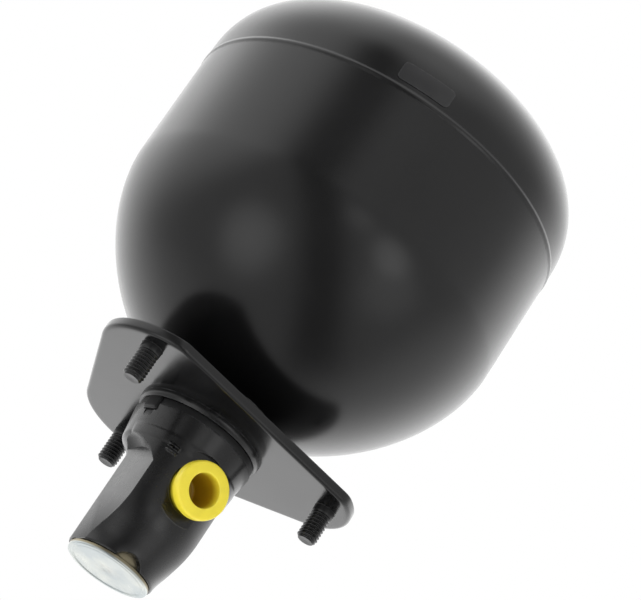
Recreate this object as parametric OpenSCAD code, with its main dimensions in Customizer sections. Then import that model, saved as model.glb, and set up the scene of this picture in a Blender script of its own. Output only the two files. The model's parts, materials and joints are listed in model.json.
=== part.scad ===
// Diaphragm pressure reservoir for a hydraulic circuit: a welded steel vessel on a
// three-stud flange, with a valve block on its outlet.
// Frame: origin on the vessel axis in the flange's stud-side face, +Z to the gas end.
// The side port faces -Y.

/* [Vessel] */
// Outside radius of the vessel's straight wall
vessel_r = 57.5; // [52:0.5:62]
// Wall thickness of both shells
wall = 3.5; // [3:0.1:4]
// Depth of the fluid shell's rounded bottom
bottom_h = 53.6; // [50:0.1:58]
// Roundness exponent of the bottom, 2 is an ellipse and less is more pointed
bottom_n = 1.75; // [1.7:0.05:2]
// Height of the weld seam above the mounting face
seam_z = 91.7; // [90:0.1:94]
// Depth of the gas shell's dome
dome_h = 31.8; // [28:0.1:34]
// Roundness exponent of the dome, more than 2 is flatter at the pole
dome_n = 2.4; // [2.2:0.05:2.6]
// Height of the dome's pole above the mounting face
pole_z = 126.8; // [126:0.1:132]
// Radius of the weld bead's section
bead_r = 0.9; // [0.8:0.1:1.2]
// How far the bead's centre lies inside the wall's surface
bead_sunk = 0.7; // [0.6:0.05:0.8]

/* [Flange] */
// Thickness of the mounting flange
plate_t = 3; // [2.5:0.1:3]
// Gap between the flange and the vessel's bottom
vessel_gap = 1.5; // [1:0.1:2]
// Diameter of the circle through the studs
stud_pcd = 80; // [78:1:84]
// Thread radius of a stud, M6
stud_r = 3; // [2.5:0.5:4]
// Length of stud standing out of the flange
stud_len = 10.5; // [9:0.5:20]
// Radius of the flange's three corners
corner_r = 22.5; // [21:0.1:24]
// Distance from the axis to each corner's centre
corner_d = 24.8; // [24:0.1:26]
// Distance from the axis to the straight edge under the side port
front_edge = 32.2; // [29:0.1:33]
// Radius at both ends of that edge
front_fillet = 5.9; // [4:0.1:8]

/* [Valve block] */
// Radius of the hub against the flange
hub_r = 18.2; // [17.8:0.1:19]
// Radius of the rounded lip at the hub's top
lip_r = 18.9; // [18.4:0.1:19.2]
// Depth of the hub's lower edge below the mounting face
hub_h = 13.2; // [12:0.1:13.5]
// Radius of the hub at its lower edge, drawn in by the forging draft
hub_low_r = 16.9; // [16.5:0.1:17]
// Radius of the barrel below the hub
barrel_r = 13; // [12.9:0.1:13.4]
// Depth of the barrel's lower face below the mounting face
barrel_z = 46.1; // [46:0.1:48]
// Turned radius of the lug that carries the side port
lug_r = 17.1; // [16.8:0.1:17.6]
// Half the distance across the lug's milled flats
flat_half = 12.4; // [12:0.1:12.8]
// Depth at which the milled flats end under the hub
flat_top = 13.9; // [13.5:0.1:16]
// Radius of the flats' curved upper end
cutter_r = 17; // [16.5:0.5:24]
// Depth at which the lug starts to taper
taper_z = 33; // [32:0.5:35]
// Depth of the side port's axis below the mounting face
port_z = 20.5; // [20.5:0.1:21.5]
// Tapping radius of the side port's thread, M14 x 1.5
port_r = 6.25; // [6.2:0.05:6.3]
// Radius of the pipe socket at the bottom of the port, for 8 mm pipe
socket_r = 4.05; // [4.02:0.01:4.1]

/* [Port plug] */
// Radius of the transport plug's flange
plug_flange_r = 8.05; // [7.8:0.05:9]
// Thickness of that flange
plug_flange_t = 3.2; // [2.6:0.1:3.5]
// Radius of that flange's rounded front edge
plug_round = 1.7; // [1:0.1:1.8]
// Radius of the blind recess in the plug
plug_recess_r = 5.15; // [4.8:0.05:5.3]

/* [Hidden] */
$fn = 96;
eps = 0.05;
gap = 0.03;
head_steps = 18;

bottom_z = plate_t + vessel_gap + bottom_h;
inner_r = vessel_r - wall;
dome_z = pole_z - dome_h;

neck_r = 15;
neck_top = 11;
neck_bore_r = 4;
spigot_r = 11;
spigot_len = 11.7;
spigot_groove_r = 8.95;
neck_groove = [-10.2, -6.9];

fill_flat_z = pole_z - 0.2;
fill_shank_r = 7;
fill_head_r = 10;
fill_head_h = 4.7;
fill_washer_t = 0.8;
fill_socket_r = 4.62;

button_r = 9;
button_z = neck_top + 0.1;
rubber_t = 2.2;
rubber_z = 12.85;
rubber_r = inner_r - 0.2;
clamp_z = 86;
bead_h = 4;

lip_low = -2.1;
draft_z = -4.6;
shoulder_h = 3.2;
ring_z = -3.2;
ring_h = 2;
ring_groove_r = 16;
ring_outer_r = 17.9;
// The ring's squared end: where it lies round the hub, how wide it is and how far down it reaches
ring_end_turn = -179;
ring_end_angle = 17;
ring_end_low = -6.4;
ring_end_top = ring_z + ring_h / 2 - 0.3;
ring_end_in_r = 16.8;
ring_end_r = 18.7;

seat_face_y = -16.3;
seat_face_r = 10.4;
flange_back_y = -19.3;
passage_r = 2.75;
thread_end_y = -8.8;
socket_end_y = -6.2;
chamber_r = 5.5;
chamber_top = -16.5;
guide_r = 8;
guide_top = -27;
plug_bore_r = 11.75;
plug_bore_top = -39.2;
plug_r = 11.7;
plug_cap_r = 12.4;
plug_low = -47.5;
seal_z = -41;
seat_t = 1.5;
poppet_r = 4.5;
poppet_top = -18.06;
poppet_low = -34.4;
spring_pocket_r = 3.3;
spring_pocket_top = -25;
wire_r = 0.5;
notch_turn = -9;
notch_r = 4.6;
notch_h = 2.4;
wire_ring_r = 11.72;
wire_ring_z = -42.95;

black = "#2c2c2e";
steel = "#8a8c8e";
zinc = "#c9cfd0";
rubber = "#1b1b1b";

// Quarter of a superellipse from its rim at [r, 0] to its pole at [0, h]
function head(r, h, n, from = 0, to = 90) = [
    for (i = [0:head_steps])
        let (a = from + (to - from) * i / head_steps)
        [r * pow(cos(a), 2 / n), h * pow(sin(a), 2 / n)]
];
function reversed(list) = [for (i = [len(list) - 1:-1:0]) list[i]];
function arc(centre, r, from, to, steps) = [
    for (i = [0:steps])
        let (a = from + (to - from) * i / steps)
        centre + r * [cos(a), sin(a)]
];
// Vessel bottom and dome as lists of [radius, height]
function bottom(r, h) = [for (p = head(r, h, bottom_n)) [p[0], bottom_z - p[1]]];
function dome(r, h, from = 0, to = 90) =
    [for (p = head(r, h, dome_n, from, to)) [p[0], dome_z + p[1]]];

// Round bar between two heights
module bar(r, low, high) {
    translate([0, 0, low]) cylinder(r = r, h = high - low);
}

// Round bar along -Y at the side port, from y = near down to y = far
module port_bar(r, near, far) {
    translate([0, near, -port_z]) rotate([90, 0, 0]) cylinder(r = r, h = near - far);
}

module ring_section(r, z, section_r) {
    rotate_extrude() translate([r, z]) circle(r = section_r, $fn = 32);
}

module fluid_shell() {
    color(black) difference() {
        rotate_extrude() polygon(concat(
            [[vessel_r, seam_z]], bottom(vessel_r, bottom_h),
            reversed(bottom(inner_r, bottom_h - wall)), [[inner_r, seam_z]]
        ));
        bar(neck_r + gap, 0, bottom_z);
        ring_section(vessel_r - bead_sunk, seam_z, bead_r + gap);
    }
}

module gas_shell() {
    color(black) difference() {
        rotate_extrude() polygon(concat(
            [[vessel_r, seam_z + gap]], dome(vessel_r, dome_h),
            reversed(dome(inner_r, dome_h - wall)), [[inner_r, seam_z + gap]]
        ));
        bar(fill_shank_r + gap, dome_z, pole_z + 1);
        bar(fill_head_r + 2, fill_flat_z, pole_z + 1);
        ring_section(vessel_r - bead_sunk, seam_z, bead_r + gap);
    }
}

module seam_weld() {
    color(black) ring_section(vessel_r - bead_sunk, seam_z, bead_r);
}

module gas_fill_plug() {
    head_low = fill_flat_z + fill_washer_t;
    color(black) difference() {
        union() {
            rotate_extrude() polygon([
                [0, head_low], [fill_head_r, head_low], [fill_head_r, head_low + fill_head_h - 1],
                [fill_head_r - 1, head_low + fill_head_h], [0, head_low + fill_head_h]
            ]);
            bar(fill_shank_r, fill_flat_z - 6.5, head_low);
        }
        bar(fill_socket_r, head_low + 1, head_low + fill_head_h + 1, $fn = 6);
    }
}

module gas_plug_seal() {
    color(steel) difference() {
        bar(fill_head_r - 0.6, fill_flat_z + 0.01, fill_flat_z + fill_washer_t - 0.01);
        bar(fill_shank_r + 0.1, dome_z, pole_z + 5);
    }
}

// Blank identification plate bonded to the dome, beside the seam
label_angle = 16;
label_turn = -117;
label_low = seam_z + 2.1;
label_to = 5.5;
label_t = 0.25;

module rating_label() {
    color("#343436") rotate(label_turn - label_angle / 2)
        rotate_extrude(angle = label_angle) polygon(concat(
            [[vessel_r + label_t, label_low]],
            dome(vessel_r + label_t, dome_h + label_t, 0, label_to),
            reversed(dome(vessel_r + gap, dome_h + gap, 0, label_to)),
            [[vessel_r + gap, label_low]]
        ));
}

module outlet_neck() {
    color(black) difference() {
        union() {
            bar(neck_r, plate_t, neck_top);
            bar(spigot_r, -spigot_len, plate_t + eps);
        }
        bar(neck_bore_r, -spigot_len - 1, neck_top + 1);
        translate([0, 0, neck_top - 1]) cylinder(r1 = neck_bore_r, r2 = neck_bore_r + 1, h = 1.01);
        difference() {
            bar(spigot_r + 1, neck_groove[0], neck_groove[1]);
            bar(spigot_groove_r, neck_groove[0] - 1, neck_groove[1] + 1);
        }
    }
}

// Fillet weld between the neck and the underside of the fluid shell
module neck_weld() {
    low = plate_t + vessel_gap + 0.9;
    color(black) difference() {
        rotate_extrude() polygon([
            [neck_r + gap, low], [neck_r + 4.5, low + 4.4],
            [neck_r + 4, low + 5.1], [neck_r + gap, low + 5.1]
        ]);
        translate([0, 0, -gap]) rotate_extrude() polygon(concat(
            [[0, seam_z], [vessel_r, seam_z]], bottom(vessel_r, bottom_h)
        ));
    }
}

module neck_o_ring() {
    color(rubber) ring_section(9.99, -9.12, 1.02);
}

module neck_backup_ring() {
    color("#d8d4c4") difference() {
        bar(spigot_r, -8.05, -6.95);
        bar(spigot_groove_r + gap, -9, -6);
    }
}

module diaphragm() {
    inside_r = rubber_r - rubber_t;
    depth = bottom_z - rubber_z;
    color(rubber) difference() {
        union() {
            rotate_extrude() polygon(concat(
                [[rubber_r, clamp_z]],
                [for (p = head(rubber_r, depth, bottom_n)) [p[0], bottom_z - p[1]]],
                reversed([for (p = head(inside_r, depth - rubber_t, bottom_n))
                    [p[0], bottom_z - p[1]]]),
                [[inside_r, clamp_z - bead_h - 1], [inside_r - 1.6, clamp_z - bead_h],
                [inside_r - 1.6, clamp_z]]
            ));
            bar(button_r + 1, rubber_z, rubber_z + rubber_t);
        }
        bar(5, rubber_z - 1, rubber_z + 5);
        bar(button_r - 1, rubber_z + rubber_t, rubber_z + 6);
    }
}

module diaphragm_button() {
    low_disc_top = rubber_z - gap;
    rivet_low = rubber_z + rubber_t + gap;
    color(steel) rotate_extrude() polygon([
        [0, button_z], [button_r - 0.6, button_z], [button_r, button_z + 0.6],
        [button_r, low_disc_top], [4.95, low_disc_top], [4.95, rivet_low],
        [button_r - 1.5, rivet_low], [button_r - 1.5, rivet_low + 1], [button_r - 2, rivet_low + 1.5],
        [0, rivet_low + 1.5]
    ]);
}

// L-section ring that traps the diaphragm's bead against the shell
module diaphragm_clamp_ring() {
    bead_in = rubber_r - rubber_t - 1.6;
    color(steel) rotate_extrude() polygon([
        [bead_in - 2.5, clamp_z - bead_h], [bead_in - gap, clamp_z - bead_h],
        [bead_in - gap, clamp_z + gap], [inner_r - gap, clamp_z + gap],
        [inner_r - gap, clamp_z + 3.5], [bead_in - 2.5, clamp_z + 3.5]
    ]);
}

// Outline of the flange: three round corners, with the edge under the port cut straight
function flange_outline() =
    let (
        corner = corner_d * [cos(-30), sin(-30)],
        fillet_y = -front_edge + front_fillet,
        reach = corner_r - front_fillet,
        fillet_x = corner[0] + sqrt(reach * reach - pow(fillet_y - corner[1], 2)),
        turn = atan2(fillet_y - corner[1], fillet_x - corner[0])
    )
    concat(
        arc([fillet_x, fillet_y], front_fillet, -90, turn, 8),
        arc(corner, corner_r, turn + 4, 30, 12),
        arc([0, corner_d], corner_r, 30, 150, 24),
        arc([-corner[0], corner[1]], corner_r, 150, 176 - turn, 12),
        arc([-fillet_x, fillet_y], front_fillet, 180 - turn, 270, 8)
    );

module at_studs() {
    for (a = [90, 210, 330]) rotate(a) translate([stud_pcd / 2, 0, 0]) children();
}

stud_head_r = stud_r + 1.4;
stud_head_t = 1.4;
// How far a stud's head stands proud of the flange on the vessel side
stud_head_proud = 0.9;
// Radius of the knurled part that is pressed into the flange
stud_press_r = stud_r + 0.2;

module mounting_flange() {
    color("#3a3a3c") difference() {
        linear_extrude(plate_t) polygon(flange_outline());
        bar(spigot_r + 0.3, -1, plate_t + 1);
        at_studs() {
            bar(stud_press_r + gap, -1, plate_t + 1);
            bar(stud_head_r + gap, plate_t - stud_head_t - gap, plate_t + 1);
        }
    }
}

module mounting_studs() {
    tip = 0.7;
    color("#303032") at_studs() {
        bar(stud_r, tip - stud_len, 0);
        bar(stud_press_r, 0, plate_t - eps);
        bar(stud_head_r, plate_t - stud_head_t, plate_t + stud_head_proud);
        translate([0, 0, -stud_len]) cylinder(r1 = stud_r - tip, r2 = stud_r, h = tip);
    }
}

// Everything the lathe leaves: hub, cone and barrel
module turned_body() {
    rotate_extrude() polygon([
        [0, 0], [lip_r - 0.7, 0], [lip_r, -0.7], [lip_r, lip_low + 0.7],
        [hub_r, lip_low], [hub_r, draft_z], [hub_low_r, -hub_h],
        [barrel_r, -hub_h - shoulder_h], [barrel_r, -barrel_z + 1.2],
        [barrel_r - 0.5, -barrel_z], [0, -barrel_z]
    ]);
}

// Front half of a wider bar, tapering to the barrel, with a milled flat on each side
module port_lug() {
    difference() {
        rotate_extrude() polygon([
            [0, -hub_h + eps], [lug_r, -hub_h + eps], [lug_r, -taper_z],
            [barrel_r, -barrel_z + 2], [0, -barrel_z + 2]
        ]);
        translate([-30, 0, -60]) cube([60, 30, 60]);
    }
}

module flat_cutter() {
    depth = 10;
    reach = 60;
    for (side = [0, 180]) rotate(side) translate([flat_half, 0, 0])
        rotate([90, 0, 90]) linear_extrude(depth) {
            translate([0, -flat_top - cutter_r]) circle(r = cutter_r);
            translate([-cutter_r, -reach]) square([2 * cutter_r, reach - flat_top - cutter_r]);
        }
}

module valve_body() {
    color(black) difference() {
        union() {
            turned_body();
            port_lug();
        }
        flat_cutter();
        difference() {
            bar(lip_r + 1, ring_z - ring_h / 2 - gap, ring_z + ring_h / 2 + gap);
            bar(ring_groove_r, ring_z - ring_h, ring_z + ring_h);
        }
        ring_end(ring_end_in_r - gap, lip_r + 1, gap, 0.2);
        bar(spigot_r + 0.04, -spigot_len - 0.1, 1);
        bar(neck_bore_r + 0.5, chamber_top - 1, 0);
        bar(chamber_r, guide_top - 1, chamber_top);
        bar(guide_r, plug_bore_top - 1, guide_top);
        bar(plug_bore_r, -barrel_z - 1, plug_bore_top);
        bar(plug_bore_r + 0.5, wire_ring_z - wire_r - gap, wire_ring_z + wire_r + gap);
        port_bar(seat_face_r, seat_face_y, -30);
        port_bar(port_r, thread_end_y, -30);
        port_bar(socket_r, socket_end_y, -30);
        port_bar(passage_r, 0, -30);
        rotate(notch_turn) translate([0, -barrel_r + 3, -barrel_z + notch_h - notch_r])
            rotate([90, 0, 0]) cylinder(r = notch_r, h = 10);
    }
}

// Block at the ring's end between two radii, or with some room round it the pocket it lies in
module ring_end(inner, outer, room, room_angle) {
    rotate(ring_end_turn - room_angle) rotate_extrude(angle = ring_end_angle + 2 * room_angle)
        translate([inner, ring_end_low - room]) square([outer - inner, ring_end_top - ring_end_low + 2 * room]);
}

// Open ring of rectangular section in the hub's groove, with a squared end
module neck_lock_ring() {
    gap_angle = 2.5;
    color("#333335") union() {
        rotate(ring_end_turn + 1) rotate_extrude(angle = 360 - gap_angle)
            translate([ring_groove_r + gap, ring_z - ring_h / 2])
                square([ring_outer_r - ring_groove_r - gap, ring_h]);
        ring_end(ring_end_in_r, ring_end_r, 0, 0);
    }
}

module valve_seat() {
    color(steel) difference() {
        bar(chamber_r - 0.02, chamber_top - seat_t, chamber_top - gap);
        bar(3, chamber_top - seat_t - 1, chamber_top + 1);
    }
}

module valve_poppet() {
    color(steel) difference() {
        rotate_extrude() polygon([
            [0, poppet_top + 1.2], [2.6, poppet_top + 1.2], [2.95, poppet_top], [3.4, poppet_top],
            [poppet_r, poppet_top - 1.2], [poppet_r, poppet_low], [0, poppet_low]
        ]);
        bar(spring_pocket_r, poppet_low - 1, spring_pocket_top);
        bar(0.6, poppet_low, poppet_top + 2);
    }
}

// Compression spring, drawn as a stack of closed coils joined by a thin sleeve
module poppet_spring() {
    low = plug_bore_top - 0.05;
    high = spring_pocket_top - 0.05;
    coils = 9;
    wire = 0.4;
    coil_r = spring_pocket_r - wire - 0.15;
    color(steel) {
        difference() {
            bar(coil_r + 0.12, low, high);
            bar(coil_r - 0.12, low - 1, high + 1);
        }
        for (i = [0:coils - 1])
            ring_section(coil_r, low + wire + (high - low - 2 * wire) * i / (coils - 1), wire);
    }
}

module poppet_guide() {
    color("#b08d3c") difference() {
        bar(guide_r - gap, guide_top - 12, guide_top - gap);
        bar(poppet_r + 0.04, guide_top - 13, guide_top + 1);
    }
}

module end_plug() {
    color(zinc) difference() {
        rotate_extrude() polygon([
            [0, plug_bore_top - 0.1], [plug_r - 0.5, plug_bore_top - 0.1], [plug_r, plug_bore_top - 0.6],
            [plug_r, -barrel_z - gap], [plug_cap_r, -barrel_z - gap], [plug_cap_r, plug_low + 0.4],
            [plug_cap_r - 0.4, plug_low], [plug_cap_r - 1.1, plug_low],
            [plug_cap_r - 1.3, plug_low + 0.2], [0.9, plug_low + 0.2], [0, plug_low + 0.8]
        ]);
        difference() {
            bar(plug_r + 1, seal_z - 1.1, seal_z + 1.1);
            bar(9.75, seal_z - 2, seal_z + 2);
        }
        difference() {
            bar(plug_r + 1, wire_ring_z - wire_r - gap, wire_ring_z + wire_r + gap);
            bar(wire_ring_r - wire_r - 0.02, wire_ring_z - 1, wire_ring_z + 1);
        }
    }
}

module end_plug_o_ring() {
    color(rubber) ring_section(10.73, seal_z, 0.96);
}

module end_plug_lock_ring() {
    color(steel) rotate(-70) rotate_extrude(angle = 345)
        translate([wire_ring_r, wire_ring_z]) circle(r = wire_r, $fn = 32);
}

module port_plug() {
    plug_edge = 0.5;
    round_centre = [plug_flange_r - plug_round, plug_flange_t - plug_round];
    face_y = flange_back_y - plug_flange_t;
    color("#e8d94a") difference() {
        union() {
            translate([0, flange_back_y, -port_z]) rotate([90, 0, 0]) rotate_extrude() polygon(concat(
                [[0, 0], [plug_flange_r - plug_edge, 0], [plug_flange_r, plug_edge]],
                arc(round_centre, plug_round, 0, 90, 8), [[0, plug_flange_t]]
            ));
            port_bar(port_r - 0.05, thread_end_y - 0.1, flange_back_y - 1);
        }
        port_bar(plug_recess_r, thread_end_y - 1.1, face_y - 1);
    }
}

fluid_shell();
gas_shell();
seam_weld();
gas_fill_plug();
gas_plug_seal();
rating_label();
outlet_neck();
neck_weld();
neck_o_ring();
neck_backup_ring();
diaphragm();
diaphragm_button();
diaphragm_clamp_ring();
mounting_flange();
mounting_studs();
valve_body();
neck_lock_ring();
valve_seat();
valve_poppet();
poppet_spring();
poppet_guide();
end_plug();
end_plug_o_ring();
end_plug_lock_ring();
port_plug();
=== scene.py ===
import json
import math

import bmesh
import bpy
import numpy as np
from mathutils import Euler, Matrix, Vector


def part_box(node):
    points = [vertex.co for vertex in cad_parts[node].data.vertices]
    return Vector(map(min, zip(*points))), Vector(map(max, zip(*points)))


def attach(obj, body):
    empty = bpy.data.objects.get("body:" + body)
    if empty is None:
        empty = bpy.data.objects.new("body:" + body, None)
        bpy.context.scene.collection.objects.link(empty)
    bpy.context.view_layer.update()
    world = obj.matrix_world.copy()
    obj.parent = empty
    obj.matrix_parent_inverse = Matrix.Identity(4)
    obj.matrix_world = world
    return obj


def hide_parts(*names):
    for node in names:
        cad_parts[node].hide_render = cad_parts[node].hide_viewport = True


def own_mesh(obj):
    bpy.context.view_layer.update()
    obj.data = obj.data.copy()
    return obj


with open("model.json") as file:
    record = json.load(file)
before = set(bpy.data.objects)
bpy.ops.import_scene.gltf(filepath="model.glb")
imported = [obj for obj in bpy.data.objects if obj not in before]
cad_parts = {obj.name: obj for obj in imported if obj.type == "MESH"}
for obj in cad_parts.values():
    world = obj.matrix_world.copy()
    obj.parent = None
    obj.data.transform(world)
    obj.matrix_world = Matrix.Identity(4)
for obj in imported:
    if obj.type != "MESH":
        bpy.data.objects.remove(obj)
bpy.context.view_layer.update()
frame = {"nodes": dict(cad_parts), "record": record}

MM = 0.001
RECORD = frame["record"]
MOUNTS = {mount["name"]: mount for mount in RECORD["mounts"]}
SLOTS = {sub["node"]: sub["material_slot"] for sub in RECORD["subparts"]}

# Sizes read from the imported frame, in metres
VESSEL_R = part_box("fluid_shell")[1].x
SEAM_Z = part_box("fluid_shell")[1].z
DOME_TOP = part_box("gas_shell")[1].z
PLATE_LOW, PLATE_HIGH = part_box("mounting_flange")
STUD_LOW, STUD_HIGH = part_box("mounting_studs")
STUD_CIRCLE_R = MOUNTS["mounting_stud_pattern"]["dims"]["pcd_mm"] / 2 * MM
STUD_R = MOUNTS["mounting_stud_pattern"]["dims"]["stud_r_mm"] * MM
PORT_Z = MOUNTS["pipe_socket"]["pos_m"][2]
BODY_LOW, BODY_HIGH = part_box("valve_body")

# Shape of the two deep-drawn shells, as in the CAD
WALL = 3.5 * MM
BOTTOM_DEPTH = 53.6 * MM
BOTTOM_POWER = 1.75
DOME_DEPTH = 31.8 * MM
DOME_POWER = 2.4
# The dome's curve would end a little above the flat round its fill plug
DOME_LOW = DOME_TOP + 0.2 * MM - DOME_DEPTH
TOP_FLAT_R = 12 * MM
NECK_HOLE_R = 15.03 * MM
FILL_HOLE_R = 7.03 * MM


# ---------------------------------------------------------------- mesh helpers
def finish_mesh(obj, sharp_angle=42):
    """Outward normals, smooth faces, and hard edges only above an angle."""
    mesh = obj.data
    work = bmesh.new()
    work.from_mesh(mesh)
    bmesh.ops.recalc_face_normals(work, faces=work.faces)
    work.to_mesh(mesh)
    work.free()
    mesh.polygons.foreach_set("use_smooth", [True] * len(mesh.polygons))
    mesh.set_sharp_from_angle(angle=math.radians(sharp_angle))
    mesh.update()
    return obj


def add_mesh(name, points, faces, sharp_angle=42):
    """New object in the scene from points in metres and faces."""
    mesh = bpy.data.meshes.new(name)
    mesh.from_pydata([tuple(p) for p in points], [], faces)
    obj = bpy.data.objects.new(name, mesh)
    bpy.context.scene.collection.objects.link(obj)
    return finish_mesh(obj, sharp_angle)


def weld(obj, *passes):
    """Joins points that coincide, then runs the other bmesh passes given."""
    work = bmesh.new()
    work.from_mesh(obj.data)
    bmesh.ops.remove_doubles(work, verts=work.verts, dist=1e-6)
    for one_pass in passes:
        one_pass(work)
    work.to_mesh(obj.data)
    work.free()


def skin(rings, columns, first=0, joined=False):
    """Faces over rings of points numbered from first; the end rings are capped or joined."""
    faces = []
    for i in range(rings if joined else rings - 1):
        a, b = first + i * columns, first + (i + 1) % rings * columns
        for k in range(columns):
            n = (k + 1) % columns
            faces.append((a + k, a + n, b + n, b + k))
    if not joined:
        last = first + (rings - 1) * columns
        faces.append(tuple(range(first, first + columns)))
        faces.append(tuple(range(last, last + columns)))
    return faces


def turned_points(rings, centre=(0, 0)):
    """Points of rings given as lists of (radius, height), evenly spaced round a centre."""
    points = []
    for ring in rings:
        for k, (r, z) in enumerate(ring):
            a = 2 * math.pi * k / len(ring)
            r = max(r, 0.02 * MM)
            points.append((centre[0] + r * math.cos(a), centre[1] + r * math.sin(a), z))
    return points


def rounded(corners, steps=4):
    """Profile through corners of (radius, height, rounding), each corner rounded off."""
    profile = []
    for i, (r, z, size) in enumerate(corners):
        here = Vector((r, z))
        if size == 0 or i in (0, len(corners) - 1):
            profile.append(here)
            continue
        back = Vector(corners[i - 1][:2]) - here
        ahead = Vector(corners[i + 1][:2]) - here
        start = here + back.normalized() * min(size, back.length * 0.48)
        end = here + ahead.normalized() * min(size, ahead.length * 0.48)
        for k in range(steps + 1):
            t = k / steps
            profile.append(start * (1 - t) ** 2 + here * (2 * t * (1 - t)) + end * t * t)
    return profile


def in_mm(corners):
    """Corners given in millimetres, turned into metres."""
    return [(r * MM, z * MM, size * MM) for r, z, size in corners]


def lathe(name, profile, segments=128, closed=False, sharp_angle=42, wobble=None):
    """Turned piece about Z; closed joins the profile's ends, and radius zero is a pole."""
    points, rows, faces = [], [], []
    for r, z in profile:
        if r < 1e-7:
            rows.append([len(points)])
            points.append((0, 0, z))
            continue
        rows.append(list(range(len(points), len(points) + segments)))
        for k in range(segments):
            a = 2 * math.pi * k / segments
            rr, zz = wobble(r, z, a) if wobble else (r, z)
            points.append((rr * math.cos(a), rr * math.sin(a), zz))
    pairs = list(zip(rows, rows[1:]))
    if closed:
        pairs.append((rows[-1], rows[0]))
    for low, high in pairs:
        if len(low) == 1 and len(high) == 1:
            continue
        for k in range(segments):
            n = (k + 1) % segments
            if len(low) == 1:
                faces.append((low[0], high[k], high[n]))
            elif len(high) == 1:
                faces.append((low[k], low[n], high[0]))
            else:
                faces.append((low[k], low[n], high[n], high[k]))
    return add_mesh(name, points, faces, sharp_angle)


def apply_modifiers(obj):
    """Bakes the modifiers into the mesh."""
    bpy.context.view_layer.update()
    shaped = obj.evaluated_get(bpy.context.evaluated_depsgraph_get())
    mesh = bpy.data.meshes.new_from_object(shaped)
    obj.modifiers.clear()
    obj.data = mesh
    return obj


def cut(obj, cutters, sharp_angle=35):
    """Takes the cutters' volume out of obj and removes the cutters."""
    for cutter in cutters:
        boolean = obj.modifiers.new("cut", "BOOLEAN")
        boolean.object = cutter
        boolean.operation = "DIFFERENCE"
        boolean.solver = "MANIFOLD"
    apply_modifiers(obj)
    for cutter in cutters:
        bpy.data.objects.remove(cutter)
    weld(obj, lambda work: bmesh.ops.dissolve_degenerate(work, edges=work.edges, dist=1e-6))
    return finish_mesh(obj, sharp_angle)


def turn_to_port(obj):
    """Turns a piece made about Z so that its +Z points out of the side port."""
    obj.data.transform(Euler((math.pi / 2, 0, 0)).to_matrix().to_4x4())
    for vertex in obj.data.vertices:
        vertex.co.z += PORT_Z
    return obj


# ---------------------------------------------------------------- materials
class Graph:
    """A material's node tree with a few short-cuts."""

    def __init__(self, name):
        self.material = bpy.data.materials.new(name)
        self.material.use_nodes = True
        self.tree = self.material.node_tree
        self.shader = self.tree.nodes["Principled BSDF"]
        self.place = self.node("ShaderNodeTexCoord").outputs["Object"]

    def node(self, kind, **inputs):
        made = self.tree.nodes.new(kind)
        for key, value in inputs.items():
            if key in made.inputs:
                self.feed(made.inputs[key], value)
            else:
                setattr(made, key, value)
        return made

    def feed(self, socket, value):
        if isinstance(value, bpy.types.NodeSocket):
            self.tree.links.new(value, socket)
        else:
            socket.default_value = value

    def set(self, name, value):
        self.feed(self.shader.inputs[name], value)

    def math(self, operation, a, b=0.0):
        made = self.node("ShaderNodeMath", operation=operation)
        self.feed(made.inputs[0], a)
        self.feed(made.inputs[1], b)
        return made.outputs[0]

    def noise(self, scale, detail=4.0, rough=0.55):
        made = self.node("ShaderNodeTexNoise", Scale=scale, Detail=detail, Roughness=rough)
        self.feed(made.inputs["Vector"], self.place)
        return made.outputs["Fac"]

    def remap(self, value, low, high, to_low, to_high):
        made = self.node("ShaderNodeMapRange")
        self.feed(made.inputs["Value"], value)
        for name, number in (("From Min", low), ("From Max", high), ("To Min", to_low), ("To Max", to_high)):
            self.feed(made.inputs[name], number)
        return made.outputs["Result"]

    def mix(self, factor, a, b):
        made = self.node("ShaderNodeMix", data_type="RGBA")
        self.feed(made.inputs["Factor"], factor)
        colours = [s for s in made.inputs if s.type == "RGBA"]
        self.feed(colours[0], a)
        self.feed(colours[1], b)
        return [s for s in made.outputs if s.type == "RGBA"][0]

    def edges(self, radius, low, high):
        """About one on convex and concave edges and zero on open faces."""
        bevel = self.node("ShaderNodeBevel", samples=4, Radius=radius)
        plain = self.node("ShaderNodeNewGeometry").outputs["Normal"]
        dot = self.node("ShaderNodeVectorMath", operation="DOT_PRODUCT")
        self.feed(dot.inputs[0], bevel.outputs["Normal"])
        self.feed(dot.inputs[1], plain)
        return self.remap(dot.outputs["Value"], 1 - low, 1 - high, 0.0, 1.0)

    def bump(self, height, distance, under=None):
        made = self.node("ShaderNodeBump", Strength=1.0, Distance=distance, Height=height)
        if under is not None:
            self.feed(made.inputs["Normal"], under)
        return made.outputs["Normal"]

    def length(self, x, y):
        flat = self.node("ShaderNodeCombineXYZ", X=x, Y=y)
        length = self.node("ShaderNodeVectorMath", operation="LENGTH")
        self.feed(length.inputs[0], flat.outputs[0])
        return length.outputs["Value"]

    def parts(self):
        """The place's X, Y and Z."""
        return self.node("ShaderNodeSeparateXYZ", Vector=self.place).outputs

    def radius(self):
        """Distance from the vessel's axis."""
        return self.length(self.parts()["X"], self.parts()["Y"])


def rgb(r, g, b):
    return (r, g, b, 1.0)


def scaled(colour, factor):
    return tuple(min(1.0, c * factor) for c in colour[:3]) + (1.0,)


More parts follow.
